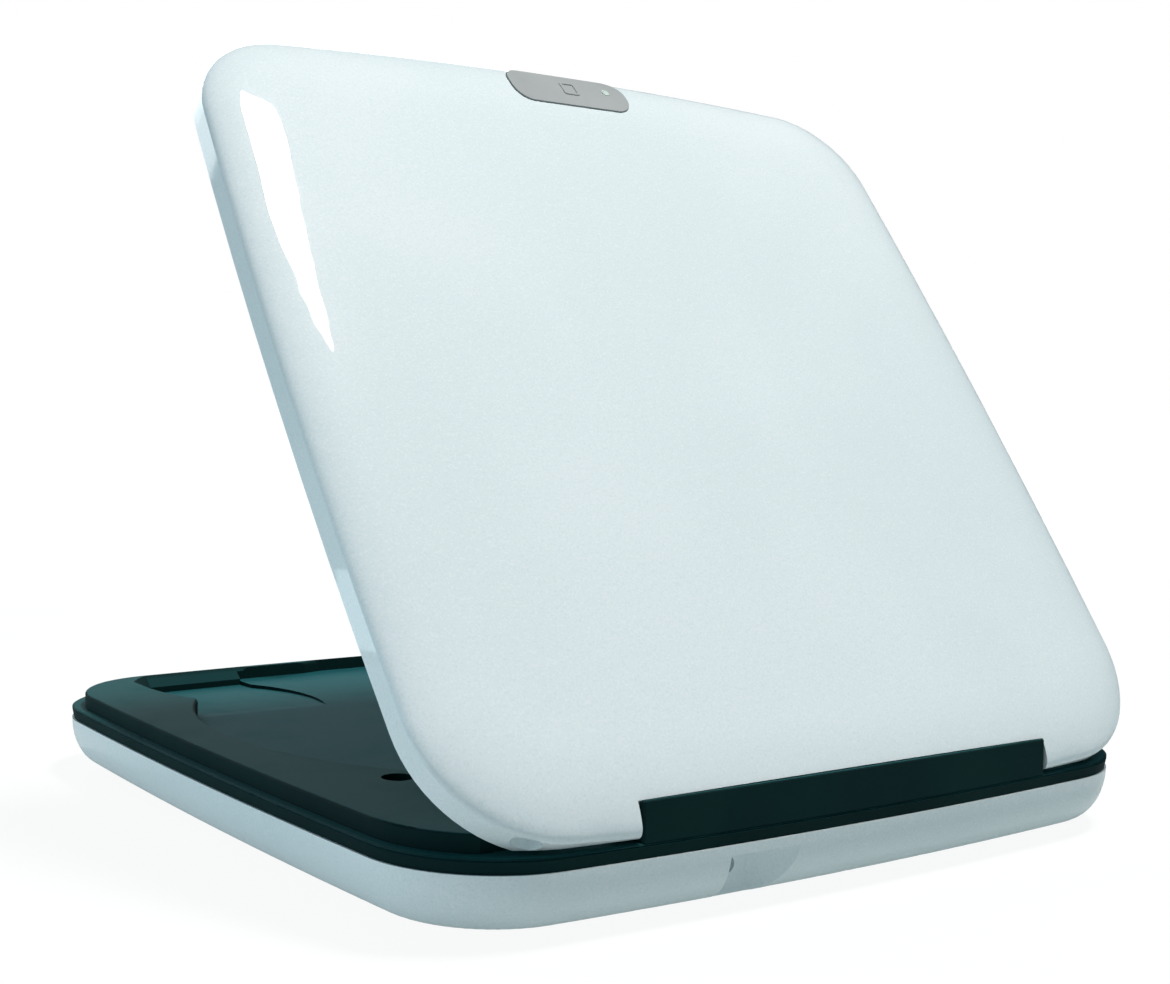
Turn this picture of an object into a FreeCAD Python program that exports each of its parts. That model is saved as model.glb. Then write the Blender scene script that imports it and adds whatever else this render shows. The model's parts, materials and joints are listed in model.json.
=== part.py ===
import FreeCAD, Part
import math
import os

from FreeCAD import Vector

# A top-loading disc player: a flat base with a bowed, round-cornered outline, a deck with a
# round disc well, and a full-size lid hinged at the rear. Millimetres, +Z up, the origin on
# the table under the middle of the case, the front at -Y and the hinge at +Y.

past = 1.0                   # cutters reach this far past the surface they cut

# Case outline, seen from above
case_half_width = 71.5
case_half_depth = 72.1
side_bow = 2.1               # the long sides bulge this much
end_bow = 3.53               # the front and rear bulge this much
front_corner_radius = 17.5
rear_corner_radius = 20.2

# Lower case
foot_height = 1.5
lower_case_height = 8.4
belly_run = 5.6              # the rounded underside runs this far inwards
case_wall = 1.6
case_floor = 1.2
foot_radius = 5.0
foot_recess = 0.4
foot_side_inset = 21.5       # foot centres, in from the case's side, front and rear
foot_front_inset = 22.1
foot_rear_inset = 24.1

# Rear pocket and its socket
pocket_right = 25.5          # its upright side wall
pocket_flat = 6.6            # width of the pocket's back wall
pocket_ramp = 5.85           # the ramp on the other side runs this far along the rear
pocket_depth = 4.8
pocket_height = 6.95         # from the underside of the case to the pocket's roof
pocket_backing = 1.4
jack_inset = 3.3             # from the upright wall to the jack's axis
jack_radius = 1.25           # bore for a 2.5 mm plug
jack_wall = 0.9
jack_length = 9.0
jack_drop = 2.75             # the jack's axis lies this far under the pocket's roof
contact_width = 0.8

# Upper deck
band_height = 2.1
band_slant = 0.35            # the band leans in this much towards its foot
band_edge = 0.3
groove_drop = 0.3            # a thin groove runs round the band this far under the ledge
groove_depth = 0.2
groove_half = 0.12
plateau_height = 2.6
plateau_edge = 0.5
deck_wall = 1.3
tongue_height = 1.5
tongue_wall = 1.0
tongue_gap = 0.15
well_radius = 61.9
well_depth = 2.3
well_center_y = -8.8
well_edge = 0.7              # rounding of the well's upper edge
front_rim_wall = 0.7         # wall left in front of the well

# Finger scoop
scoop_side_inset = 15.1      # the scoop's outer side, in from the case's side
scoop_side_front = 18.1      # where that side ends, behind the case's front
scoop_start_x = 30.5
scoop_start_y = -35.0
scoop_step_x = 33.0
scoop_end_lean = 2.2         # the bank's end leans out this much
scoop_cusp_x = 53.2
scoop_side_bow = 0.6         # the outer side, the corner and the step bow out this much
scoop_corner_bow = 1.4
scoop_step_bow = 3.2
scoop_dip = 0.35             # the floor first drops this much
scoop_dip_run = 4.0          # within this far
scoop_shelf_x = 15.0         # from here the well's front wall runs along the rim to the scoop
scoop_shelf_wall = 1.6
scoop_fall = 0.8             # the scoop floor drops this much under the well floor
scoop_bank_drop = 1.9        # height of the sloped bank below the deck top
scoop_bank_run = 2.7
scoop_rim = 0.65             # rim left outside the bank
scoop_corner = 4.5

# Lid switch
switch_gap = 5.064           # its axis lies this far outside the well's wall
switch_angle = 36.254        # seen from the well's centre, from the +X side
switch_hole_radius = 2.45
switch_hole_depth = 1.7
switch_boss_wall = 1.2
plunger_radius = 1.9
plunger_gap = 0.05
plunger_recess = 1.4         # the plunger's nose lies this far under the deck top
plunger_travel = 1.0
plunger_collar = 0.8         # the collar under the guide is this much wider and thick
collar_gap = 0.1
switch_body_size = 7.0

# Hinge
axis_inset = 4.36            # hinge axis, in from the case's rear
axis_rise = 2.0              # height of the hinge axis above the ledge
lid_open_angle = 53.35
lid_stop_angle = 55.0
trough_width = 8.1           # the hinge trough, from its front to the case's rear
housing_half_width = 40.4
housing_height = 5.66
housing_lean = 0.95          # its rear face leans in this much at the middle
housing_end_lean = 0.1       # and this much at its ends
housing_bevel = 0.15
housing_corner = 0.3
barrel_radius = 2.8
notch_gap = 0.4
notch_depth = 5.4            # of the notch in the lid's rear edge
swing_gap = 0.3
pin_radius = 0.75
pin_grip = 4.0               # length of pin held in the housing
pin_gap = 0.05
lug_radius = 1.8
lug_width = 3.0
lug_web_reach = 5.14         # in front of the hinge axis
web_clearance = 0.3
washer_thickness = 0.3
washer_radius = 1.7
stop_plane_slope = 1.4       # the lid's rear wall is cut by this slope
stop_plane_offset = 0.26     # where that slope meets the ledge, behind the hinge axis
hinge_screw_end = 14.4       # from the housing's end
hinge_screw_inset = 3.5      # from the case's rear
hinge_screw_bite = 2.4

# Lid
lid_side_setback = 0.3
lid_front_setback = 0.8
lid_rear_setback = 0.5
lid_seat_gap = 0.15
lid_rim_wall = 1.0
lid_gap = 0.4                # between the lid's rim wall and the plateau
lid_side_height = 3.77       # from the ledge to the start of the shoulder
lid_shoulder_run = 13.0
lid_shoulder_rise = 3.0
lid_top_wall = 1.6
lid_inner_drop = 0.6
recess_angle = 68.138542607   # where it lies round the rear corner, from the +X side
recess_rise = 2.6
recess_length = 4.4
recess_height = 2.7
recess_depth = 1.3
recess_backing = 0.9

# Lid liner and what it carries
liner_inset = 4.5
liner_thickness = 0.95
liner_rear_gap = 6.24        # from the hinge axis
post_radius = 1.4
post_tip_gap = 0.3
bumper_radius = 1.5
bumper_side_inset = 9.5      # from the case's side and front
bumper_front_inset = 34.1
bumper_gap = 0.3
bumper_edge = 0.3
liner_screw_side_inset = 23.5    # from the case's side, front and rear
liner_screw_front_inset = 20.1
liner_screw_rear_inset = 18.1
liner_screw_bite = 0.9

# Stop button
button_x = -2.1
button_width = 25.2
button_depth = 8.4
button_front_inset = 1.7     # from the case's front
button_corner = 3.6
button_gap = 0.15
button_raise = 0.25
button_wall = 1.0
button_travel = 0.35
button_opening_low = 3.4     # the opening starts this far above the ledge
indicator_across = -8.2      # from the button's middle
indicator_back = 3.6         # from the button's front edge
indicator_radius = 0.8
indicator_raise = 0.08       # the indicator stands this proud of the button
film_thickness = 0.2
film_side_inset = 3.6        # from the button's side
film_front_inset = 1.3       # from the liner's front edge
film_rear_gap = 0.2
film_corner = 0.8
dome_radius = 1.3
dome_nose_radius = 0.5
dome_height = 0.35
dome_gap = 0.05              # left over the dome when the button is fully pressed

# Screws
screw_radius = 1.0
screw_head_radius = 1.9
screw_head_height = 1.2
head_taper = 0.15            # part of a head's radius and
head_taper_rise = 0.25       # part of its height taken off at the rim
small_screw_radius = 0.7
small_head_radius = 1.4
small_head_height = 0.6
small_head_gap = 0.1
case_screw_front = (10.5, 25.1)      # in from the case's side and front
case_screw_rear = (11.5, 28.1)       # in from the case's side and rear
case_boss_radius = 2.7
boss_split = 5.3             # the lower boss ends this far above the case floor

# Main board
board_thickness = 1.0
board_rise = 0.4             # its posts lift it this far off the case floor
board_side_inset = 8.5       # from the case's side
board_width = 29.0
board_front = -38.0
board_rear = 37.0
board_arm_left = 17.0
board_arm_right = 46.0
board_arm_front = 46.0
board_arm_inset = 10.1       # from the case's rear
board_corner = 2.0
board_post_radius = 1.8
chips = [(14.0, -20.0, 12.0, 12.0), (15.0, 3.0, 9.0, 14.0), (15.0, 22.0, 8.0, 8.0),
         (27.0, 51.0, 6.0, 5.0)]     # in from the board's right edge, y, width and depth
chip_height = 1.2
capacitor_spots = [(5.5, -6.0), (5.5, -1.0), (21.0, 32.0)]
capacitor_radius = 1.9
capacitor_height = 2.4

# Mechanism chassis
chassis_rise = 2.9           # plate above the case floor
chassis_thickness = 1.0
chassis_left = -31.0
chassis_right = 19.5
chassis_front = -27.0
chassis_rear = 60.5
chassis_corner = 4.0
ear_reach = 29.0
ear_front_y = -18.0
ear_rear_y = 40.0
ear_radius = 4.6
grommet_radius = 3.3
grommet_neck = 2.3
grommet_flange = 1.1
grommet_bore = 1.25
damper_head_radius = 2.5
rod_spread = 16.5
rod_radius = 1.0
rod_rise = 2.1               # rod axis above the chassis plate
rod_front_y = 1.0
rod_rear_y = 59.0
rod_holder_width = 3.6
rod_holder_length = 2.6
rod_cover = 0.5              # metal over a rod in its holder
window_margin = 4.0          # the chassis window keeps this far from the motor and the rods' ends

# Disc motor
motor_radius = 10.5
motor_base_height = 1.2
bearing_radius = 3.0
bearing_height = 2.2
motor_edge = 0.3
shaft_radius = 1.5
shaft_gap = 0.03
rotor_radius = 11.0
rotor_wall = 0.7
rotor_gap = 0.35
table_radius = 14.5
table_thickness = 1.0
pad_thickness = 0.3
pad_inner_radius = 11.5
pad_inset = 0.3
disc_lift = 0.9              # underside of a disc above the well floor
hub_radius = 7.4
hub_rise = 2.5
hub_nose_radius = 5.4
hub_straight = 1.6
hub_round_run = 0.5          # the nose's edge is taken off by this much across
hub_round_rise = 0.15
ball_radius = 1.0
ball_circle = 6.5
ball_drop = 0.1              # ball centres lie this far under the hub's shoulder
spindle_hole_radius = 17.3

# Pickup sled
sled_length = 20.0
sled_height = 2.7
sled_lift = 0.45             # sled above the chassis plate
sled_rest_radius = 24.0      # lens distance from the disc centre at rest
sled_travel = 34.0
rod_bush_gap = 0.05
rod_bush_wall = 0.7
sled_waist = 10.0
lens_tower_radius = 3.6
lens_tower_height = 1.6
lens_radius = 2.2
lens_height = 0.7
lens_drop = 0.6              # the lens holder's top stays this far under the lens height
lens_holder_edge = 0.6
lens_bulge = 0.4
slot_half_width = 12.0
slot_gap = 0.2               # between the lens holder at its outer limit and the slot's end
screw_axis_x = -23.5
lead_screw_radius = 1.3
lead_screw_gap = 0.05
follower_width = 3.2
follower_length = 6.0
lead_motor_radius = 2.1
lead_motor_length = 11.0
lead_motor_gap = 4.0         # the motor ends this far in front of the rods
lead_bearing_length = 2.4
thrust_gap = 0.1

# Levels worked out from the heights
case_bottom = foot_height
case_inside = case_bottom + case_floor
parting = case_bottom + lower_case_height
ledge = parting + band_height
deck_top = ledge + plateau_height
well_floor = deck_top - well_depth
deck_under = well_floor - deck_wall
axis_z = ledge + axis_rise
lid_rim_z = ledge + lid_seat_gap
lid_shoulder_z = ledge + lid_side_height
lid_top = lid_shoulder_z + lid_shoulder_rise
lid_ceiling = lid_top - lid_top_wall
lid_inner_shoulder_z = lid_shoulder_z - lid_inner_drop
liner_under = lid_ceiling - liner_thickness
pocket_top = case_bottom + pocket_height
jack_z = pocket_top - jack_drop
board_under = case_inside + board_rise
board_top = board_under + board_thickness
chassis_under = case_inside + chassis_rise
chassis_top = chassis_under + chassis_thickness
rod_z = chassis_top + rod_rise
disc_plane = well_floor + disc_lift
boss_split_z = case_inside + boss_split
jack_x = pocket_right - jack_inset
jack_size = jack_radius + jack_wall
pocket_back = case_half_depth - end_bow * (jack_x / case_half_width) ** 2 - pocket_depth
jack_face = pocket_back - pocket_backing         # the jack stands against the pocket's back wall
well_center = Vector(0, well_center_y, 0)
board_right = case_half_width - board_side_inset
board_left = board_right - board_width
board_arm_rear = case_half_depth - board_arm_inset
scoop_right = case_half_width - scoop_side_inset
scoop_side_y = scoop_side_front - case_half_depth
switch_x = (well_radius + switch_gap) * math.cos(math.radians(switch_angle))
switch_y = well_center_y + (well_radius + switch_gap) * math.sin(math.radians(switch_angle))
axis_y = case_half_depth - axis_inset
trough_front_y = case_half_depth - trough_width
notch_edge_y = case_half_depth - lid_rear_setback - notch_depth
stop_plane_y = axis_y + stop_plane_offset
hinge_screw_x = housing_half_width - hinge_screw_end
hinge_screw_y = case_half_depth - hinge_screw_inset
button_front_y = button_front_inset - case_half_depth

# The three outlines: each is the same bowed shape with its own reach to side, front and rear
case_rim = {"side": case_half_width, "front": case_half_depth, "rear": case_half_depth}
lid_rim = {
    "side": case_half_width - lid_side_setback,
    "front": case_half_depth - lid_front_setback,
    "rear": case_half_depth - lid_rear_setback,
}
deck_rim = {side: reach - lid_rim_wall - lid_gap for side, reach in lid_rim.items()}


def arc_radius(half_chord, bow):
    return (half_chord ** 2 + bow ** 2) / (2 * bow)


def toward(start, end, distance):
    return start + (end - start).normalize() * distance


def bowed(start, end, bow):
    # middle of an arc that bows to the left of the line from start to end
    line = (end - start).normalize()
    return (start + end) * 0.5 + Vector(-line.y, line.x, 0) * bow


def crossing(center_a, radius_a, center_b, radius_b, way):
    # where two circles cross, on the +X side and on the given side in Y
    gap = (center_b - center_a).Length
    along = (radius_a ** 2 - radius_b ** 2 + gap ** 2) / (2 * gap)
    across = math.sqrt(radius_a ** 2 - along ** 2)
    foot = toward(center_a, center_b, along)
    line = (center_b - center_a).normalize()
    sideways = Vector(-line.y, line.x, 0) * across
    return max(foot + sideways, foot - sideways, key=lambda spot: spot.x + way * spot.y)


def corner_points(rim, way, inset):
    # end touch, middle and side touch of the right-hand corner arc, front (-1) or rear (+1)
    side_radius = arc_radius(case_half_depth, side_bow)
    end_radius = arc_radius(case_half_width, end_bow)
    reach = rim["front"] if way < 0 else rim["rear"]
    radius = front_corner_radius if way < 0 else rear_corner_radius
    side_center = Vector(rim["side"] - side_radius, 0, 0)
    end_center = Vector(0, way * (reach - end_radius), 0)
    center = crossing(side_center, side_radius - radius, end_center, end_radius - radius, way)
    end_touch = toward(end_center, center, end_radius - inset)
    side_touch = toward(side_center, center, side_radius - inset)
    middle = toward(center, (end_touch + side_touch) * 0.5, radius - inset)
    return [end_touch, middle, side_touch]


def outline(rim, inset, level):
    # closed outline of four long arcs and four corner arcs, moved in by the inset
    front = corner_points(rim, -1, inset)
    rear = corner_points(rim, 1, inset)
    right = front + [Vector(rim["side"] - inset, 0, 0)] + rear[::-1]
    left = [Vector(-spot.x, spot.y, 0) for spot in reversed(right)]
    rear_middle = Vector(0, rim["rear"] - inset, 0)
    front_middle = Vector(0, inset - rim["front"], 0)
    spots = right + [rear_middle] + left + [front_middle, right[0]]
    spots = [spot + Vector(0, 0, level) for spot in spots]
    return Part.Wire([Part.Arc(*spots[at:at + 3]).toShape() for at in range(0, len(spots) - 2, 2)])


def prism(rim, inset, low, high):
    return Part.Face(outline(rim, inset, low)).extrude(Vector(0, 0, high - low))


def loft(rim, sections, ruled=False):
    return Part.makeLoft([outline(rim, inset, level) for inset, level in sections], True, ruled)


def quarter(run, rise, steps=6):
    # a quarter ellipse as (inset, height) pairs, upright at its foot and level at its top
    turns = [math.pi / 2 * step / steps for step in range(steps + 1)]
    return [(run * (1 - math.cos(turn)), rise * math.sin(turn)) for turn in turns]


def box(left, right, front, rear, low, high):
    return Part.makeBox(right - left, rear - front, high - low, Vector(left, front, low))


def disc(x, y, low, high, radius):
    return Part.makeCylinder(radius, high - low, Vector(x, y, low))


def bar_x(left, right, y, z, radius):
    return Part.makeCylinder(radius, right - left, Vector(left, y, z), Vector(1, 0, 0))


def bar_y(x, front, rear, z, radius):
    return Part.makeCylinder(radius, rear - front, Vector(x, front, z), Vector(0, 1, 0))


def plate(spots, low, high):
    corners = [Vector(x, y, low) for x, y in spots]
    return Part.Face(Part.makePolygon(corners + corners[:1])).extrude(Vector(0, 0, high - low))


def round_uprights(solid, radius):
    uprights = []
    for edge in solid.Edges:
        start, end = edge.Vertexes[0].Point, edge.Vertexes[-1].Point
        if abs(start.x - end.x) + abs(start.y - end.y) < 1e-6 and abs(start.z - end.z) > 1e-6:
            uprights.append(edge)
    return solid.makeFillet(radius, uprights)


def spun(x, y, profile):
    # a solid of revolution about the upright line through (x, y); profile is (radius, height)
    spots = [Vector(x + radius, y, height) for radius, height in profile]
    face = Part.Face(Part.makePolygon(spots + spots[:1]))
    return face.revolve(Vector(x, y, 0), Vector(0, 0, 1), 360)


def joined(solids):
    first, *others = solids
    return first.fuse(others).removeSplitter()


def group(solids):
    return Part.makeCompound(solids)


def mirrored(solid):
    return solid.mirror(Vector(0, 0, 0), Vector(1, 0, 0))


def both_sides(solid):
    return [solid, mirrored(solid)]


def open_lid(shape):
    # the lid's pieces are drawn closed and swing up at the front to the resting angle
    swung = shape.copy()
    swung.rotate(Vector(0, axis_y, axis_z), Vector(-1, 0, 0), lid_open_angle)
    return swung


def shoulder_height(inset, run, rise):
    # height of an elliptical shoulder above its foot, at an inset from its outer face
    return rise * math.sqrt(1 - (1 - min(inset, run) / run) ** 2)


def screw(x, y, head_low, head_height, head_radius, shank_top, radius):
    head = spun(x, y, [
        (0, head_low), (head_radius * (1 - head_taper), head_low),
        (head_radius, head_low + head_height * head_taper_rise),
        (head_radius, head_low + head_height), (0, head_low + head_height),
    ])
    return joined([head, disc(x, y, head_low + head_height, shank_top, radius)])


# ---------------------------------------------------------------- lower case

def belly(inset, floor, top):
    # boat-like underside: upright at the parting line and level at the bottom
    sections = [(inset + run, top - drop) for run, drop in quarter(belly_run, top - floor)]
    return loft(case_rim, sections[::-1])


def pocket_space(grow, roof):
    # a hollow in the rear with an upright wall, a back wall and a ramp; grow adds the walls round it
    slope = pocket_ramp / pocket_depth
    lean = math.hypot(slope, 1) - slope
    beyond = case_half_depth + pocket_depth
    right = pocket_right + grow
    back = pocket_back - grow
    left = pocket_right - pocket_flat - grow * lean
    spots = [(right, beyond), (left - slope * (beyond - back), beyond), (left, back), (right, back)]
    return plate(spots, 0, roof)


def foot_spots():
    x = case_half_width - foot_side_inset
    return [(way * x, y) for way in (1, -1)
            for y in (foot_front_inset - case_half_depth, case_half_depth - foot_rear_inset)]


def case_screw_spots():
    spots = []
    for (side_inset, end_inset), end in ((case_screw_front, -1), (case_screw_rear, 1)):
        x, y = case_half_width - side_inset, end * (case_half_depth - end_inset)
        spots += [(x, y), (-x, y)]
    return spots


def ear_spots():
    return [(way * ear_reach, y) for way in (1, -1) for y in (ear_front_y, ear_rear_y)]


def board_post_spots():
    inset = 2 * board_post_radius
    return [
        (board_left + inset, board_front + inset), (board_right - inset, board_front + inset),
        (board_right - inset, board_rear - inset), (board_arm_left + inset, board_arm_front + inset),
    ]


def lower_case():
    backing = pocket_space(pocket_backing, pocket_top + pocket_backing)
    inside = belly(case_wall, case_inside, parting).cut(backing)
    shell = belly(0, case_bottom, parting).cut(inside)
    added = [disc(x, y, case_inside - case_floor / 2, boss_split_z, case_boss_radius)
             for x, y in case_screw_spots()]
    added += [disc(x, y, case_inside - case_floor / 2, chassis_under - grommet_flange, grommet_radius)
              for x, y in ear_spots()]
    added += [disc(x, y, case_inside - case_floor / 2, board_under, board_post_radius)
              for x, y in board_post_spots()]
    shell = joined([shell] + added)
    removed = [pocket_space(0, pocket_top)]
    removed += [disc(x, y, 0, case_bottom + foot_recess, foot_radius) for x, y in foot_spots()]
    for x, y in case_screw_spots():
        removed.append(disc(x, y, 0, case_inside + screw_head_height, screw_head_radius))
        removed.append(disc(x, y, 0, parting, screw_radius))
    for x, y in ear_spots():
        removed.append(disc(x, y, case_inside, parting, small_screw_radius))
    removed.append(bar_y(jack_x, jack_face, case_half_depth, jack_z, jack_radius))
    return shell.cut(removed)


def rubber_feet():
    edge = foot_recess / 2
    profile = [(0, 0), (foot_radius - edge, 0), (foot_radius, edge),
               (foot_radius, case_bottom + foot_recess), (0, case_bottom + foot_recess)]
    return group([spun(x, y, profile) for x, y in foot_spots()])


def case_screws():
    head_low = case_inside
    return group([
        screw(x, y, head_low, screw_head_height, screw_head_radius, deck_under, screw_radius)
        for x, y in case_screw_spots()
    ])


# ---------------------------------------------------------------- upper deck

def scoop_plan(grow=0.0, lean=0.0):
    # finger scoop, seen from above: cusp on the well, outer side, bank along the front rim
    cusp = on_well(scoop_cusp_x)
    well_side = Vector(math.sqrt(well_radius ** 2 - (scoop_start_y - well_center_y) ** 2),
                       scoop_start_y, 0)
    between = on_well((cusp.x + well_side.x) / 2)
    side = Vector(scoop_right + grow, scoop_side_y, 0)
    bank_right = front_rim_point(scoop_right - scoop_corner, grow)
    bank_left = front_rim_point(scoop_step_x - lean, grow)
    bank_middle = front_rim_point((bank_right.x + bank_left.x) / 2, grow)
    step = Vector(scoop_step_x - lean, on_well(scoop_step_x).y, 0)
    start = Vector(scoop_start_x, scoop_start_y, 0)
    edges = [
        Part.LineSegment(start, well_side).toShape(),
        Part.Arc(well_side, between, cusp).toShape(),
        Part.Arc(cusp, bowed(cusp, side, scoop_side_bow), side).toShape(),
        Part.Arc(side, bowed(side, bank_right, scoop_corner_bow), bank_right).toShape(),
        Part.Arc(bank_right, bank_middle, bank_left).toShape(),
        Part.LineSegment(bank_left, step).toShape(),
        Part.Arc(step, bowed(step, start, scoop_step_bow), start).toShape(),
    ]
    return Part.Wire(edges)


def on_well(x):
    return Vector(x, well_center_y - math.sqrt(well_radius ** 2 - x ** 2), 0)


def front_rim_point(x, grow):
    # a point inside the deck's front rim; grow moves it out towards the rim
    radius = arc_radius(case_half_width, end_bow)
    inset = scoop_rim + scoop_bank_run - grow
    center_y = radius - deck_rim["front"]
    return Vector(x, center_y - math.sqrt((radius - inset) ** 2 - x ** 2), 0)


def scoop_solid():
    # a floor that falls towards the front under an upright wall, with a sloped bank above it
    bank_low = deck_top - scoop_bank_drop
    wall = Part.Face(scoop_plan()).extrude(Vector(0, 0, deck_top))
    far_y = front_rim_point(scoop_step_x, scoop_bank_run).y
    profile = [(scoop_start_y, well_floor), (scoop_start_y - scoop_dip_run, well_floor - scoop_dip),
               (far_y, well_floor - scoop_fall), (far_y, deck_top + past),
               (scoop_start_y, deck_top + past)]
    corners = [Vector(0, y, z) for y, z in profile]
    above = Part.Face(Part.makePolygon(corners + corners[:1])).extrude(Vector(case_half_width, 0, 0))
    lower = scoop_plan()
    lower.translate(Vector(0, 0, bank_low))
    upper = scoop_plan(scoop_bank_run, scoop_end_lean)
    upper.translate(Vector(0, 0, deck_top))
    bank = Part.makeLoft([lower, upper], True, True)
    bank_side = box(0, scoop_right, -case_half_depth, scoop_side_y, bank_low, deck_top)
    return wall.common(above).fuse([bank.common(bank_side), scoop_shelf(well_floor, deck_top + past, 0)])


def scoop_shelf(low, high, grow):
    # between the scoop and the round well the opening follows the front rim
    strip = box(scoop_shelf_x - grow, scoop_step_x, -case_half_depth, on_well(scoop_step_x).y, low, high)
    return strip.common(prism(deck_rim, scoop_shelf_wall - grow, low, high))


def well_solid():
    # the round disc well with a rounded upper edge, stopped by the front rim
    edge_low = deck_top - well_edge
    rounding = [(well_radius + run, edge_low + rise) for run, rise in quarter(well_edge, well_edge, 4)]
    profile = [(0, well_floor), (well_radius, well_floor)] + rounding
    profile += [(well_radius + well_edge, deck_top + past), (0, deck_top + past)]
    return spun(0, well_center_y, profile).common(
        prism(deck_rim, front_rim_wall, well_floor, deck_top + past))


def pickup_slot():
    end = well_center_y + sled_rest_radius + sled_travel + lens_tower_radius + slot_gap
    slot = box(-slot_half_width, slot_half_width, well_center_y, end, deck_under, well_floor)
    slot = round_uprights(slot, slot_half_width / 3)
    return slot.fuse(disc(0, well_center_y, deck_under, well_floor, spindle_hole_radius))


def upper_deck():
    groove_z = ledge - groove_drop
    band = loft(case_rim, [(band_slant, parting), (0, groove_z - groove_half), (groove_depth, groove_z),
                           (0, groove_z + groove_half), (band_edge, ledge)], True)
    plateau = prism(deck_rim, 0, ledge, deck_top)
    top_edges = [edge for edge in plateau.Edges if edge.BoundBox.ZMin > deck_top - 1e-6]
    plateau = plateau.makeFillet(plateau_edge, top_edges)
    wide = case_half_width + past
    plateau = plateau.cut(box(-wide, wide, trough_front_y, case_half_depth, ledge, deck_top + past))
    tongue_out = case_wall + tongue_gap
    tongue = prism(case_rim, tongue_out, parting - tongue_height, parting).cut(
        prism(case_rim, tongue_out + tongue_wall, parting - tongue_height, parting))
    tongue_front = box(-wide, wide, -wide, trough_front_y - 2 * deck_wall, 0, parting)
    body = joined([band, plateau])
    hollow = prism(deck_rim, deck_wall, parting, deck_top - deck_wall)
    kept = [
        disc(0, well_center_y, deck_under, deck_top, well_radius + deck_wall),
        box(-wide, wide, trough_front_y - deck_wall, case_half_depth, ledge - deck_wall, deck_top),
        disc(switch_x, switch_y, deck_under, deck_top, switch_hole_radius + switch_boss_wall),
        scoop_tub(),
        scoop_shelf(deck_under, deck_top, deck_wall),
    ]
    body = body.cut(hollow.cut(kept))
    bosses = [disc(x, y, boss_split_z, deck_top - deck_wall / 2, case_boss_radius)
              for x, y in case_screw_spots()]
    tub_skirt = scoop_tub().common(box(0, wide, -case_half_depth, 0, 0, parting))
    body = joined([body, tongue.common(tongue_front), tub_skirt] + bosses)
    removed = [well_solid(), scoop_solid(), pickup_slot()]
    removed.append(disc(switch_x, switch_y, deck_top - switch_hole_depth, deck_top, switch_hole_radius))
    removed.append(disc(switch_x, switch_y, 0, deck_top, plunger_radius + plunger_gap))
    removed += [disc(x, y, 0, deck_under, screw_radius) for x, y in case_screw_spots()]
    for x in (hinge_screw_x, -hinge_screw_x):
        removed.append(disc(x, hinge_screw_y, 0, ledge, small_screw_radius))
        removed.append(disc(x, hinge_screw_y, 0, ledge - deck_wall, small_head_radius + small_head_gap))
    return body.cut(removed)


def scoop_tub():
    # the plastic under and around the scoop, inside the case walls
    plan = scoop_plan().makeOffset2D(deck_wall)
    low = well_floor - scoop_fall - deck_wall
    tub = Part.Face(plan)
    tub.translate(Vector(0, 0, low))
    inner = prism(deck_rim, deck_wall, low, deck_top)
    return tub.extrude(Vector(0, 0, deck_top - low)).common(inner)


def housing_outline(middle, end, half_width, level):
    # seen from above: straight sides, cut rear corners and a bowed rear edge
    right = [Vector(half_width, trough_front_y, level), Vector(half_width, end - housing_corner, level),
             Vector(half_width - housing_corner, end, level)]
    left = [Vector(-spot.x, spot.y, level) for spot in reversed(right)]
    edges = [Part.LineSegment(start, stop).toShape() for start, stop in zip(right, right[1:])]
    edges.append(Part.Arc(right[-1], Vector(0, middle, level), left[0]).toShape())
    edges += [Part.LineSegment(start, stop).toShape() for start, stop in zip(left, left[1:] + right[:1])]
    return Part.Wire(edges)


def housing_envelope():
    # its foot follows the bowed case, its top edge is nearly straight, with a small bevel
    end = case_half_depth - end_bow * (housing_half_width / case_half_width) ** 2
    top_z = ledge + housing_height
    middle_top = case_half_depth - housing_lean
    end_top = end - housing_end_lean
    return Part.makeLoft([
        housing_outline(case_half_depth, end, housing_half_width, ledge),
        housing_outline(middle_top, end_top, housing_half_width, top_z - housing_bevel),
        housing_outline(middle_top - housing_bevel, end_top - housing_bevel,
                        housing_half_width - housing_bevel, top_z),
    ], True, True)


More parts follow.
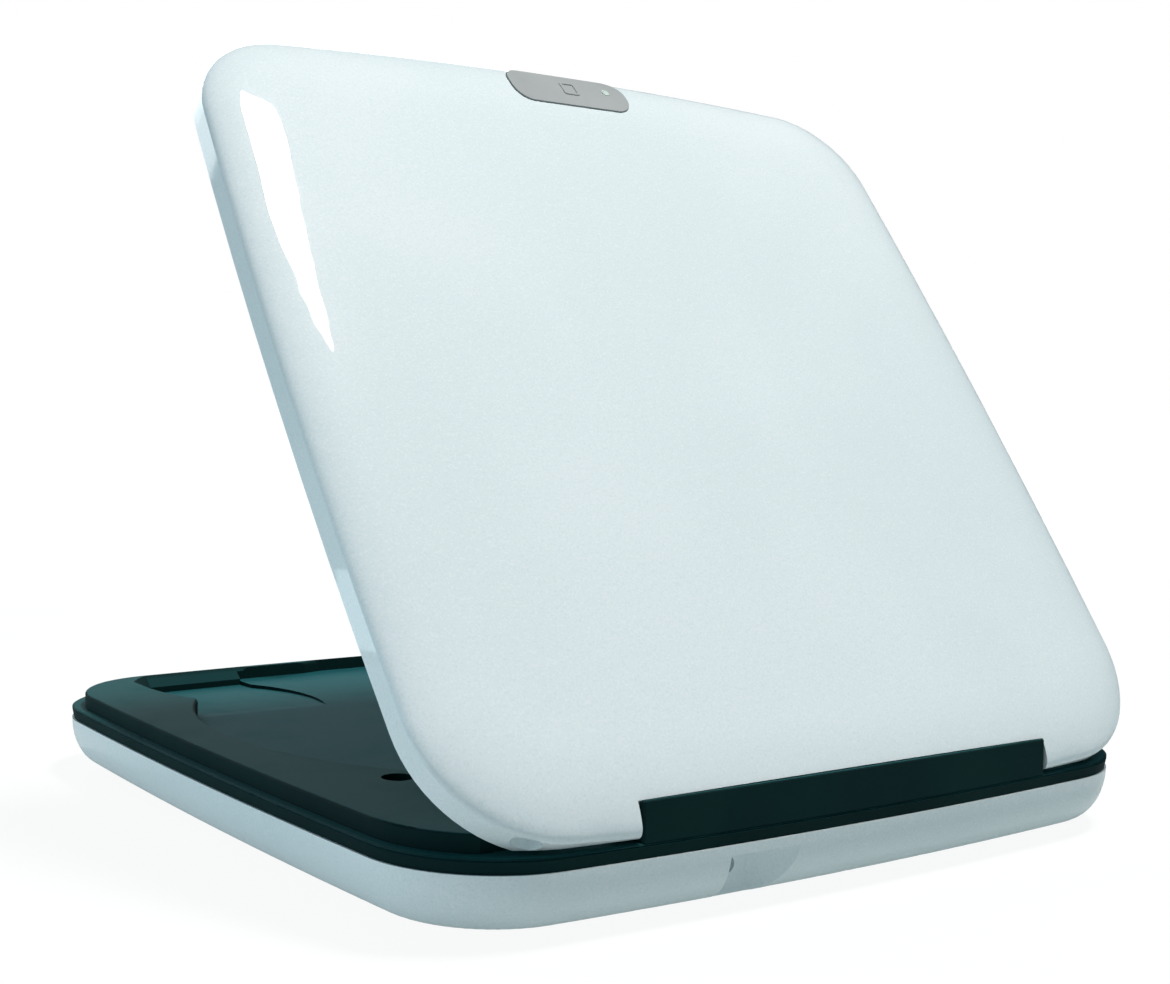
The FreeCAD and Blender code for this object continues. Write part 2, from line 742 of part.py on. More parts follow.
def hinge_housing():
    # a barrel round the hinge axis with a rear lip that closes the lid's notch
    inner_inset = lid_rim["rear"] - notch_edge_y
    ceiling = lid_inner_shoulder_z + shoulder_height(
        inner_inset - lid_rim_wall, lid_shoulder_run - lid_rim_wall, lid_ceiling - lid_inner_shoulder_z)
    roof = lid_shoulder_z + shoulder_height(inner_inset, lid_shoulder_run, lid_shoulder_rise)
    low = swung_point(notch_edge_y, ceiling, lid_stop_angle)
    high = swung_point(notch_edge_y, roof, lid_stop_angle)
    rise = (high - low).normalize()
    off = Vector(0, rise.z, -rise.y) * swing_gap
    low, high = low + off, high + off
    axis = Vector(0, axis_y, axis_z)
    top_z = ledge + housing_height
    rear = case_half_depth + past
    front = axis - Vector(0, barrel_radius, 0)
    crown = axis + Vector(0, 0, barrel_radius)
    foot = Vector(0, front.y, ledge)
    lip_foot = Vector(0, high.y, high.z)
    lip_top = Vector(0, high.y, top_z + past)
    meet = barrel_meets(low, rise)
    spots = [meet, lip_foot, lip_top, Vector(0, rear, top_z + past), Vector(0, rear, ledge), foot, front]
    edges = [Part.LineSegment(start, end).toShape() for start, end in zip(spots, spots[1:])]
    edges.append(Part.Arc(front, crown, meet).toShape())
    section = Part.Face(Part.Wire(edges))
    section.translate(Vector(-housing_half_width, 0, 0))
    block = section.extrude(Vector(2 * housing_half_width, 0, 0))
    block = block.common(housing_envelope())
    grip = housing_half_width - pin_grip
    bores = both_sides(bar_x(grip, housing_half_width, axis_y, axis_z, pin_radius))
    bores += [disc(way * hinge_screw_x, hinge_screw_y, ledge, ledge + hinge_screw_bite,
                   small_screw_radius) for way in (1, -1)]
    return block.cut(bores)


def barrel_meets(spot, line):
    # where a rising line through the spot meets the rear of the barrel
    axis = Vector(0, axis_y, axis_z)
    away = spot - axis
    along = away.dot(line)
    reach = math.sqrt(along ** 2 - away.dot(away) + barrel_radius ** 2)
    return spot + line * (reach - along)


def swung_point(y, z, angle):
    turn = math.radians(angle)
    across, up = y - axis_y, z - axis_z
    return Vector(0, axis_y + across * math.cos(turn) + up * math.sin(turn),
                  axis_z - across * math.sin(turn) + up * math.cos(turn))


def hinge_pins():
    grip = housing_half_width - pin_grip
    tip = housing_half_width + notch_gap + lug_width
    return group(both_sides(bar_x(grip, tip, axis_y, axis_z, pin_radius)))


def hinge_washers():
    left = housing_half_width + (notch_gap - washer_thickness) / 2
    ring = bar_x(left, left + washer_thickness, axis_y, axis_z, washer_radius)
    ring = ring.cut(bar_x(left, left + washer_thickness, axis_y, axis_z, pin_radius))
    return group(both_sides(ring))


def hinge_screws():
    head_low = ledge - deck_wall - small_head_height
    return group([
        screw(way * hinge_screw_x, hinge_screw_y, head_low, small_head_height, small_head_radius,
              ledge + hinge_screw_bite, small_screw_radius) for way in (1, -1)
    ])


# ---------------------------------------------------------------- rear socket

def data_jack():
    rear = jack_face
    front = rear - jack_length
    body = box(jack_x - jack_size, jack_x + jack_size, front, rear, board_top, jack_z + jack_size)
    return body.cut(bar_y(jack_x, front + jack_wall, rear, jack_z, jack_radius))


def jack_contacts():
    front = jack_face - jack_length
    half = contact_width / 2
    return group([box(x - half, x + half, front - contact_width, front, board_top, jack_z)
                  for x in (jack_x - jack_size / 2, jack_x + jack_size / 2)])


# ---------------------------------------------------------------- boards

def main_board():
    spots = [
        (board_left, board_front), (board_right, board_front), (board_right, board_rear),
        (board_arm_right, board_arm_front), (board_arm_right, board_arm_rear),
        (board_arm_left, board_arm_rear), (board_arm_left, board_arm_front),
        (board_left, board_arm_front),
    ]
    return round_uprights(plate(spots, board_under, board_top), board_corner)


def board_chips():
    solids = []
    for inset, y, width, depth in chips:
        x = board_right - inset
        chip = box(x - width / 2, x + width / 2, y - depth / 2, y + depth / 2,
                   board_top, board_top + chip_height)
        upper = [edge for edge in chip.Edges if edge.BoundBox.ZMin > board_top + chip_height - 1e-6]
        solids.append(chip.makeChamfer(chip_height / 4, upper))
    return group(solids)


def board_capacitors():
    neck = capacitor_radius / 4
    profile = [(0, board_top), (capacitor_radius, board_top),
               (capacitor_radius, board_top + capacitor_height - neck),
               (capacitor_radius - neck, board_top + capacitor_height), (0, board_top + capacitor_height)]
    return group([spun(board_right - inset, y, profile) for inset, y in capacitor_spots])


# ---------------------------------------------------------------- mechanism

def chassis():
    bed = plate([(chassis_left, chassis_front), (chassis_right, chassis_front),
                 (chassis_right, chassis_rear), (chassis_left, chassis_rear)],
                chassis_under, chassis_top)
    bed = round_uprights(bed, chassis_corner)
    ears = [disc(x, y, chassis_under, chassis_top, ear_radius) for x, y in ear_spots()]
    ears += [box(-ear_reach, ear_reach, y - ear_radius, y + ear_radius, chassis_under, chassis_top)
             for y in (ear_front_y, ear_rear_y)]
    holders = []
    for x in (rod_spread, -rod_spread):
        for y in (rod_front_y, rod_rear_y - rod_holder_length):
            holders.append(box(x - rod_holder_width / 2, x + rod_holder_width / 2,
                               y, y + rod_holder_length, chassis_top, rod_z + rod_radius + rod_cover))
    bearing_y = rod_rear_y - lead_bearing_length
    holders.append(box(screw_axis_x - rod_holder_width / 2, screw_axis_x + rod_holder_width / 2,
                       bearing_y, rod_rear_y, chassis_top, rod_z + lead_screw_radius + rod_cover))
    body = joined([bed] + ears + holders)
    window = box(-sled_waist, sled_waist, well_center_y + motor_radius + window_margin,
                 rod_rear_y - window_margin, chassis_under, chassis_top)
    removed = [round_uprights(window, chassis_corner / 2)]
    removed += [disc(x, y, chassis_under, chassis_top, grommet_neck) for x, y in ear_spots()]
    removed += [bar_y(x, rod_front_y, rod_rear_y, rod_z, rod_radius) for x in (rod_spread, -rod_spread)]
    removed.append(bar_y(screw_axis_x, bearing_y, rod_rear_y, rod_z, lead_screw_radius + lead_screw_gap))
    return body.cut(removed)


def dampers():
    # waisted rubber grommets that hold the chassis off the case
    low, high = chassis_under - grommet_flange, chassis_top + grommet_flange
    profile = [(grommet_bore, low), (grommet_radius, low), (grommet_radius, chassis_under),
               (grommet_neck, chassis_under), (grommet_neck, chassis_top),
               (grommet_radius, chassis_top), (grommet_radius, high), (grommet_bore, high)]
    return group([spun(x, y, profile) for x, y in ear_spots()])


def damper_screws():
    head_low = chassis_top + grommet_flange
    head_top = head_low + small_head_height
    solids = []
    for x, y in ear_spots():
        head = disc(x, y, head_low, head_top, damper_head_radius)
        sleeve = disc(x, y, chassis_under - grommet_flange, head_low, grommet_bore)
        shank = disc(x, y, case_inside, chassis_under - grommet_flange, small_screw_radius)
        solids.append(joined([head, sleeve, shank]))
    return group(solids)


def guide_rods():
    return group([bar_y(x, rod_front_y, rod_rear_y, rod_z, rod_radius) for x in (rod_spread, -rod_spread)])


def disc_motor():
    top = chassis_top + motor_base_height
    base = spun(0, well_center_y, [
        (shaft_radius + shaft_gap, chassis_top), (motor_radius, chassis_top),
        (motor_radius, top - motor_edge), (motor_radius - motor_edge, top), (bearing_radius, top),
        (bearing_radius, chassis_top + bearing_height),
        (shaft_radius + shaft_gap, chassis_top + bearing_height),
    ])
    return base


def rotor():
    low = chassis_top + motor_base_height + rotor_gap
    top = chassis_top + bearing_height + rotor_gap + rotor_wall
    table_low = disc_plane - pad_thickness - table_thickness
    return spun(0, well_center_y, [
        (0, chassis_top), (shaft_radius, chassis_top), (shaft_radius, top - rotor_wall),
        (rotor_radius - rotor_wall, top - rotor_wall), (rotor_radius - rotor_wall, low),
        (rotor_radius, low), (rotor_radius, top), (shaft_radius, top),
        (shaft_radius, table_low), (0, table_low),
    ])


def turntable():
    low = disc_plane - pad_thickness - table_thickness
    seat = disc_plane - pad_thickness
    top = disc_plane + hub_rise
    solid = spun(0, well_center_y, [
        (0, low), (table_radius, low), (table_radius, seat), (hub_radius, seat),
        (hub_radius, disc_plane + hub_straight), (hub_nose_radius + hub_round_run, top - hub_round_rise),
        (hub_nose_radius, top), (0, top),
    ])
    return solid.cut(clamp_ball_solids())


def clamp_ball_solids():
    solids = []
    for step in range(3):
        angle = math.radians(90 + 120 * step)
        center = well_center + Vector(math.cos(angle) * ball_circle, math.sin(angle) * ball_circle,
                                      disc_plane + hub_straight - ball_drop)
        solids.append(Part.makeSphere(ball_radius, center))
    return solids


def clamp_balls():
    return group(clamp_ball_solids())


def turntable_pad():
    seat = disc_plane - pad_thickness
    return spun(0, well_center_y, [
        (pad_inner_radius, seat), (table_radius - pad_inset, seat),
        (table_radius - pad_inset, disc_plane), (pad_inner_radius, disc_plane),
    ])


def lens_y():
    return well_center_y + sled_rest_radius


def sled():
    low = chassis_top + sled_lift
    top = low + sled_height
    y = lens_y()
    half = sled_length / 2
    body = box(-sled_waist, sled_waist, y - half, y + half, low, top)
    arms = []
    bush = rod_radius + rod_bush_wall
    for x in (rod_spread, -rod_spread):
        arms.append(bar_y(x, y - half / 2, y + half / 2, rod_z, bush))
    link = box(-rod_spread, rod_spread, y - half / 2, y + half / 2, rod_z - rod_radius, rod_z + rod_radius)
    body = joined([body, link] + arms)
    removed = [bar_y(x, y - half, y + half, rod_z, rod_radius + rod_bush_gap)
               for x in (rod_spread, -rod_spread)]
    removed.append(disc(0, y, top - lens_tower_height, top, lens_tower_radius))
    return body.cut(removed)


def lens_holder():
    low = chassis_top + sled_lift + sled_height - lens_tower_height
    top = disc_plane - lens_height - lens_drop
    body = spun(0, lens_y(), [
        (0, low), (lens_tower_radius, low), (lens_tower_radius, top - lens_holder_edge),
        (lens_tower_radius - lens_holder_edge, top), (0, top),
    ])
    return body.cut(disc(0, lens_y(), top - lens_height, top, lens_radius))


def objective_lens():
    low = disc_plane - 2 * lens_height - lens_drop
    dome = [(lens_radius - run, low + lens_height + rise) for run, rise in quarter(lens_radius, lens_bulge)]
    return spun(0, lens_y(), [(0, low), (lens_radius, low)] + dome)


def sled_follower():
    # the sled's arm round the lead screw
    y = lens_y()
    left = screw_axis_x - follower_width / 2
    right = -rod_spread - rod_radius - rod_bush_wall
    block = box(left, right, y - follower_length / 2, y + follower_length / 2,
                rod_z - follower_width / 2, rod_z + follower_width / 2)
    return block.cut(bar_y(screw_axis_x, y - follower_length, y + follower_length, rod_z,
                           lead_screw_radius + lead_screw_gap))


def lead_screw():
    front = rod_front_y - lead_motor_gap + thrust_gap
    return bar_y(screw_axis_x, front, rod_rear_y, rod_z, lead_screw_radius)


def lead_motor():
    rear = rod_front_y - lead_motor_gap
    front = rear - lead_motor_length
    can = bar_y(screw_axis_x, front, rear, rod_z, lead_motor_radius)
    foot = box(screw_axis_x - lead_motor_radius, screw_axis_x + lead_motor_radius, front, rear,
               chassis_top, rod_z)
    return joined([can, foot])


# ---------------------------------------------------------------- lid switch

def switch_plunger():
    nose = deck_top - plunger_recess
    collar_top = deck_under - collar_gap
    collar_low = collar_top - plunger_collar
    edge = plunger_radius / 5
    return spun(switch_x, switch_y, [
        (0, collar_low), (plunger_radius + plunger_collar, collar_low),
        (plunger_radius + plunger_collar, collar_top), (plunger_radius, collar_top),
        (plunger_radius, nose - edge), (plunger_radius - edge, nose), (0, nose),
    ])


def switch_body():
    # stands on the board and stops the plunger at the end of its travel
    half = switch_body_size / 2
    top = deck_under - 2 * collar_gap - plunger_collar - plunger_travel
    body = box(switch_x - half, switch_x + half, switch_y - half, switch_y + half, board_top, top)
    return round_uprights(body, switch_body_size / 8)


# ---------------------------------------------------------------- lid

def lid_outer(grow=0.0):
    sections = [(run - grow, lid_shoulder_z + rise + grow)
                for run, rise in quarter(lid_shoulder_run, lid_shoulder_rise)]
    return joined([prism(lid_rim, -grow, lid_rim_z, lid_shoulder_z + grow), loft(lid_rim, sections)])


def lid_inner():
    run = lid_shoulder_run - lid_rim_wall
    rise = lid_ceiling - lid_inner_shoulder_z
    sections = [(lid_rim_wall + across, lid_inner_shoulder_z + up) for across, up in quarter(run, rise)]
    return joined([prism(lid_rim, lid_rim_wall, lid_rim_z, lid_inner_shoulder_z), loft(lid_rim, sections)])


def stop_wedge():
    # everything under the slope that lets the rear wall swing down clear of the ledge
    wide = case_half_width + past
    rear = case_half_depth + past
    start = stop_plane_y - past
    spots = [Vector(-wide, start, ledge + stop_plane_slope * (start - stop_plane_y)),
             Vector(-wide, rear, ledge + stop_plane_slope * (rear - stop_plane_y)),
             Vector(-wide, rear, 0), Vector(-wide, start, 0)]
    return Part.Face(Part.makePolygon(spots + spots[:1])).extrude(Vector(2 * wide, 0, 0))


def button_plan(grow, drop=0.0):
    # an upright block over the button; grow widens it all round, drop lowers its foot
    left = button_x - button_width / 2 - grow
    right = button_x + button_width / 2 + grow
    front = button_front_y - grow
    rear = button_front_y + button_depth + grow
    solid = box(left, right, front, rear, ledge + button_opening_low - drop, lid_top + past)
    return round_uprights(solid, button_corner + grow)


def recess_cutter():
    # an oval seen square on to the rear corner of the lid
    center = corner_center(lid_rim, 1)
    turn = math.radians(recess_angle)
    out = Vector(math.cos(turn), math.sin(turn), 0)
    face = center + out * rear_corner_radius + Vector(0, 0, ledge + recess_rise)
    half = (recess_length - recess_height) / 2
    along = Vector(-out.y, out.x, 0)
    radius = recess_height / 2
    start = face - out * recess_depth
    ends = [Part.makeCylinder(radius, 2 * recess_depth, start + along * (way * half), out)
            for way in (1, -1)]
    middle = Part.makeBox(2 * half, recess_height, 2 * recess_depth)
    middle.Placement = FreeCAD.Placement(start - along * half - Vector(0, 0, radius),
                                         FreeCAD.Rotation(along, Vector(0, 0, 1), out, "ZXY"))
    pad_radius = radius + recess_backing
    pad = Part.makeCylinder(pad_radius, recess_depth + recess_backing,
                            face - out * (recess_depth + recess_backing) - along * half, out)
    pad = pad.fuse(Part.makeCylinder(pad_radius, recess_depth + recess_backing,
                                     face - out * (recess_depth + recess_backing) + along * half, out))
    return joined(ends + [middle]), pad


def corner_center(rim, way):
    side_radius = arc_radius(case_half_depth, side_bow)
    end_radius = arc_radius(case_half_width, end_bow)
    reach = rim["front"] if way < 0 else rim["rear"]
    radius = front_corner_radius if way < 0 else rear_corner_radius
    return crossing(Vector(rim["side"] - side_radius, 0, 0), side_radius - radius,
                    Vector(0, way * (reach - end_radius), 0), end_radius - radius, way)


def lid_shell():
    outer = lid_outer()
    recess, pad = recess_cutter()
    notch_half = housing_half_width + notch_gap
    web = box(notch_half, notch_half + lug_width, axis_y - lug_web_reach, case_half_depth,
              deck_top + web_clearance, lid_top)
    added = both_sides(web) + [pad]
    inner = lid_inner().cut(added)
    notch = box(-notch_half, notch_half, notch_edge_y, case_half_depth + past, 0, lid_top + past)
    opening = button_plan(button_gap, button_travel + button_gap)
    shell = outer.cut(inner).cut([notch, stop_wedge(), opening, recess])
    lug = bar_x(notch_half, notch_half + lug_width, axis_y, axis_z, lug_radius)
    neck = box(notch_half, notch_half + lug_width, axis_y - lug_radius, axis_y + lug_radius,
               axis_z, deck_top + 2 * web_clearance)
    shell = joined([shell] + both_sides(lug) + both_sides(neck))
    bore = bar_x(notch_half - past, notch_half + lug_width + past, axis_y, axis_z, pin_radius + pin_gap)
    return shell.cut(both_sides(bore) + [screw_hole(x, y) for x, y in liner_screw_spots()])


def liner_screw_spots():
    x = case_half_width - liner_screw_side_inset
    front, rear = liner_screw_front_inset - case_half_depth, case_half_depth - liner_screw_rear_inset
    return [(way * x, y) for way in (1, -1) for y in (front, rear)]


def screw_hole(x, y):
    return disc(x, y, liner_under, lid_ceiling + liner_screw_bite, small_screw_radius)


def lid_liner():
    wide = case_half_width
    panel = prism(lid_rim, liner_inset, liner_under, lid_ceiling).common(
        box(-wide, wide, -case_half_depth, axis_y - liner_rear_gap, 0, lid_top))
    panel = panel.common(lid_inner())
    film_room = button_plan(button_gap).common(
        box(-wide, wide, -case_half_depth, 0, film_level(), lid_top))
    post_tip = deck_top - plunger_recess + post_tip_gap
    post = disc(switch_x, switch_y, post_tip, liner_under + liner_thickness / 2, post_radius)
    return joined([panel.cut(film_room), post]).cut([screw_hole(x, y) for x, y in liner_screw_spots()])


def button_under(y):
    # height of the button's underside on its centre line
    sink = button_wall - button_raise
    inset = lid_rim["front"] - sink + y
    return lid_shoulder_z - sink + shoulder_height(inset, lid_shoulder_run, lid_shoulder_rise)


def film_rear_y():
    return button_front_y + button_depth - film_rear_gap


def dome_y():
    return film_rear_y() - film_rear_gap - dome_radius


def film_level():
    # the dome just clears the button when it is fully pressed
    dome_top = button_under(dome_y() - dome_nose_radius) - button_travel - dome_gap
    return dome_top - dome_height - film_thickness


def liner_screws():
    return group([
        screw(x, y, liner_under - small_head_height, small_head_height, small_head_radius,
              lid_ceiling + liner_screw_bite, small_screw_radius) for x, y in liner_screw_spots()
    ])


def lid_bumpers():
    low = deck_top + bumper_gap
    profile = [(0, low), (bumper_radius - bumper_edge, low), (bumper_radius, low + bumper_edge),
               (bumper_radius, liner_under), (0, liner_under)]
    x, y = case_half_width - bumper_side_inset, bumper_front_inset - case_half_depth
    return group([spun(way * x, y, profile) for way in (1, -1)])


def button_film():
    front = liner_inset - lid_rim["front"] + film_front_inset
    half = button_width / 2 - film_side_inset
    film = box(button_x - half, button_x + half, front, film_rear_y(),
               film_level(), film_level() + film_thickness)
    return round_uprights(film, film_corner)


def button_dome():
    low = film_level() + film_thickness
    return spun(button_x, dome_y(), [(0, low), (dome_radius, low), (dome_nose_radius, low + dome_height),
                                     (0, low + dome_height)])


def button_skin(raise_by, wall):
    return lid_outer(raise_by).cut(lid_outer(raise_by - wall)).common(button_plan(0))


def indicator_column():
    return disc(button_x + indicator_across, button_front_y + indicator_back, 0, lid_top + past,
                indicator_radius)


def stop_button():
    return button_skin(button_raise, button_wall).cut(indicator_column())


def indicator_lens():
    return button_skin(button_raise + indicator_raise, button_wall).common(indicator_column())


base_nodes = {
    "lower_case": lower_case,
    "rubber_feet": rubber_feet,
    "case_screws": case_screws,
    "upper_deck": upper_deck,
    "hinge_housing": hinge_housing,
    "hinge_pins": hinge_pins,
    "hinge_washers": hinge_washers,
    "hinge_screws": hinge_screws,
    "data_jack": data_jack,
    "jack_contacts": jack_contacts,
    "main_board": main_board,
    "board_chips": board_chips,
    "board_capacitors": board_capacitors,
    "chassis": chassis,
    "dampers": dampers,
    "damper_screws": damper_screws,
    "guide_rods": guide_rods,
    "disc_motor": disc_motor,
    "rotor": rotor,
    "turntable": turntable,
    "turntable_pad": turntable_pad,
    "clamp_balls": clamp_balls,
    "sled": sled,
    "sled_follower": sled_follower,
    "lens_holder": lens_holder,
    "objective_lens": objective_lens,
    "lead_screw": lead_screw,
    "lead_motor": lead_motor,
    "switch_plunger": switch_plunger,
    "switch_body": switch_body,
}

lid_nodes = {
    "lid_shell": lid_shell,
    "lid_liner": lid_liner,
    "liner_screws": liner_screws,
    "lid_bumpers": lid_bumpers,
    "button_film": button_film,
    "button_dome": button_dome,
    "stop_button": stop_button,
    "indicator_lens": indicator_lens,
}

for name, make in base_nodes.items():
    make().exportStep("parts/" + name + ".step")

for name, make in lid_nodes.items():
    open_lid(make()).exportStep("parts/" + name + ".step")
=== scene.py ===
import json
import math

import bmesh
import bpy
from mathutils import Matrix, Vector
from mathutils.bvhtree import BVHTree


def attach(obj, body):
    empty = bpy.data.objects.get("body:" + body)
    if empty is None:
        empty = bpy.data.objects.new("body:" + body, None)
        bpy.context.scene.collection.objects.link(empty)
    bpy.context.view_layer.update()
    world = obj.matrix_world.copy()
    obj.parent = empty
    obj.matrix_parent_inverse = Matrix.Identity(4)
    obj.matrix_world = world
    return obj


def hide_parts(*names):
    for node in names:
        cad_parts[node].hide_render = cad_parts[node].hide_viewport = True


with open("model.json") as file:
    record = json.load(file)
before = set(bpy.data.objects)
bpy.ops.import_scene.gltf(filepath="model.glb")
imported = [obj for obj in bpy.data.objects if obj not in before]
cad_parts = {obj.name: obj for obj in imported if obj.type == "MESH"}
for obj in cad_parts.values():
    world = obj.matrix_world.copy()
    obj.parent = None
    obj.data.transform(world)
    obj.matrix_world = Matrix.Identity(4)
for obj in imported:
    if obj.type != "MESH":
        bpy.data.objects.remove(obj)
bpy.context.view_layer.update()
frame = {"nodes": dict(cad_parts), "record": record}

# A top-loading disc player seen from behind with its lid up: pearl-white lid and case, a
# dark green-black deck between them. Metres; the back of the player is at +Y.

nodes = frame["nodes"]


def nodeBox(name):
    corners = [nodes[name].matrix_world @ Vector(corner) for corner in nodes[name].bound_box]
    low = Vector([min(corner[i] for corner in corners) for i in range(3)])
    high = Vector([max(corner[i] for corner in corners) for i in range(3)])
    return low, high


def nodeCentre(name):
    low, high = nodeBox(name)
    return (low + high) / 2


lidLean = math.radians(53.35)      # how far the lid stands open
lidOut = Vector((0, math.sin(lidLean), math.cos(lidLean)))      # the way its outer face looks
lidUp = Vector((0, -lidOut.z, lidOut.y))      # towards its free edge
across = Vector((1, 0, 0))         # the hinge runs this way
down = Vector((0, 0, -1))
wellCentre = nodeCentre("turntable_pad")
deckTop = nodeBox("upper_deck")[1].z


def tone(red, green, blue):
    # a colour given on the 0-255 screen scale, as the linear colour that shaders want
    def linear(value):
        value = value / 255
        return value / 12.92 if value <= 0.04045 else ((value + 0.055) / 1.055) ** 2.4
    return (linear(red), linear(green), linear(blue), 1)


class Wire:
    # one output socket; sums on it add Math nodes to its material
    def __init__(self, tree, socket):
        self.tree = tree
        self.socket = socket

    def make(self, kind, values=None, settings=None, output=0):
        # a new node with its inputs, as wires or constants, and its settings
        made = self.tree.nodes.new(kind)
        for name, setting in (settings or {}).items():
            setattr(made, name, setting)
        for name, value in (values or {}).items():
            if isinstance(value, Wire):
                self.tree.links.new(value.socket, made.inputs[name])
            else:
                made.inputs[name].default_value = value
        return Wire(self.tree, made.outputs[output] if len(made.outputs) else None)

    def sum(self, operation, *values):
        return self.make("ShaderNodeMath", dict(enumerate(values)), {"operation": operation})

    def __add__(self, other):
        return self.sum("ADD", self, other)

    def __radd__(self, other):
        return self.sum("ADD", other, self)

    def __sub__(self, other):
        return self.sum("SUBTRACT", self, other)

    def __rsub__(self, other):
        return self.sum("SUBTRACT", other, self)

    def __mul__(self, other):
        return self.sum("MULTIPLY", self, other)

    def __rmul__(self, other):
        return self.sum("MULTIPLY", other, self)

    def step(self, start, end):
        # 0 below start, 1 above end, smooth between
        return self.make("ShaderNodeMapRange", {"Value": self, "From Min": start, "From Max": end},
                         {"interpolation_type": "SMOOTHSTEP"})

    def blend(self, first, second):
        # mixes two colours by this value
        return self.make("ShaderNodeMix", {0: self, 6: first, 7: second}, {"data_type": "RGBA"},
                         output=2)

    def noise(self, scale, detail, roughness=0.5):
        return self.make("ShaderNodeTexNoise", {"Vector": self, "Scale": scale, "Detail": detail,
                                                "Roughness": roughness})

    def cells(self, scale):
        # distance to the nearest cell's middle
        return self.make("ShaderNodeTexVoronoi", {"Vector": self, "Scale": scale},
                         output="Distance")

    def axis(self, name):
        return self.make("ShaderNodeSeparateXYZ", {0: self}, output=name)

    def bump(self, strength, distance):
        return self.make("ShaderNodeBump", {"Height": self, "Strength": strength,
                                            "Distance": distance})

    def vector(self, operation, *values, output="Vector"):
        return self.make("ShaderNodeVectorMath", dict(enumerate(values)),
                         {"operation": operation}, output)


def newFinish(name):
    # an empty material, a wire that makes its nodes, and the place on the piece
    material = bpy.data.materials.new(name)
    material.use_nodes = True
    material.node_tree.nodes.clear()
    start = Wire(material.node_tree, None)
    place = start.make("ShaderNodeTexCoord", output="Object")
    return material, start, place


def surface(start, values):
    shader = start.make("ShaderNodeBsdfPrincipled", values)
    start.make("ShaderNodeOutputMaterial", {"Surface": shader})


# In every finish a noise is its scale in cells per metre, its detail and its roughness, a step
# is where it starts and ends, and a bump is its strength and its height.

pearlShell = {
    "light": tone(236, 246, 247),
    "shade": tone(230, 242, 243),
    "cloudNoise": (14.0, 3.0),
    "cloudStep": (0.35, 0.65),
    "flake": tone(246, 252, 252),
    "flakeStep": (0.54, 0.70),
    "flakeShare": 0.55,
    "speck": tone(216, 230, 232),
    "speckStep": (0.55, 0.72),
    "speckShare": 0.35,
    "grainNoise": (2800.0, 1.0),
    "roughness": 0.5,
    "coat": 0.9,
    "coatRoughness": 0.035,
    "specular": 0.2,
    "peelNoise": (420.0, 2.0),
    "peelShare": 0.6,              # the flakes' grain makes up the rest of the bump
    "bump": (0.03, 0.0001),
    "handlingNoise": (60.0, 4.0, 0.6),
    "handlingStep": (0.3, 0.8),
    "handlingDulls": 0.08,
    "handlingWears": 0.1,
}


def pearlFinish(name, look):
    material, start, place = newFinish(name)
    clouds = place.noise(*look["cloudNoise"]).step(*look["cloudStep"])
    base = clouds.blend(look["shade"], look["light"])
    grain = place.noise(*look["grainNoise"])
    bright = grain.step(*look["flakeStep"]) * look["flakeShare"]
    dull = (1 - grain).step(*look["speckStep"]) * look["speckShare"]
    base = dull.blend(bright.blend(base, look["flake"]), look["speck"])
    peel = place.noise(*look["peelNoise"]) * look["peelShare"] + grain * (1 - look["peelShare"])
    handling = place.noise(*look["handlingNoise"]).step(*look["handlingStep"])
    surface(start, {
        "Base Color": base,
        "Roughness": look["roughness"] + handling * look["handlingDulls"],
        "Coat Weight": look["coat"] - handling * look["handlingWears"],
        "Coat Roughness": look["coatRoughness"],
        "Specular IOR Level": look["specular"],
        "Normal": peel.bump(*look["bump"]),
    })
    return material


# where the deck's floors get their paler painted light
paintedLightZones = {
    "centre": (wellCentre.x, wellCentre.y, 0),
    "radius": 0.0618,
    "scoopCentre": (0.0400, -0.0500, 0),
    "scoopRadius": 0.0215,
    "edge": 0.0004,            # width of the soft border
    "drop": 0.0007,            # the painted floors lie at least this far below the deck's top
}


def paintedLightFloors(start):
    # 1 on the floors of the disc well and the finger scoop, 0 elsewhere: where the paler painted
    # light goes
    place = start.make("ShaderNodeNewGeometry", output="Position")
    flat = start.vector("MULTIPLY", place, (1, 1, 0))

    def within(centre, radius):
        away = start.vector("DISTANCE", flat, centre, output="Value")
        return 1 - away.step(radius - paintedLightZones["edge"], radius)

    inside = start.sum("MAXIMUM", within(paintedLightZones["centre"], paintedLightZones["radius"]),
                       within(paintedLightZones["scoopCentre"], paintedLightZones["scoopRadius"]))
    floorTop = deckTop - paintedLightZones["drop"]
    below = 1 - place.axis("Z").step(floorTop, floorTop + paintedLightZones["edge"])
    return inside * below


# what all the moulded pieces share
moulding = {
    "cloudNoise": (40.0, 3.0),
    "cloudStep": (0.35, 0.7),
    "grainDetail": (2.0, 0.6),
    "grainDulls": 0.06,
    "rubNoise": (90.0, 5.0, 0.65),
    "rubStep": (0.45, 0.75),
    "rubDulls": 0.07,
    "specular": 0.5,
    "paintedLightUpwardStep": (0.75, 0.99),    # from a steep wall to a face that looks up, where the deck's painted light begins
}


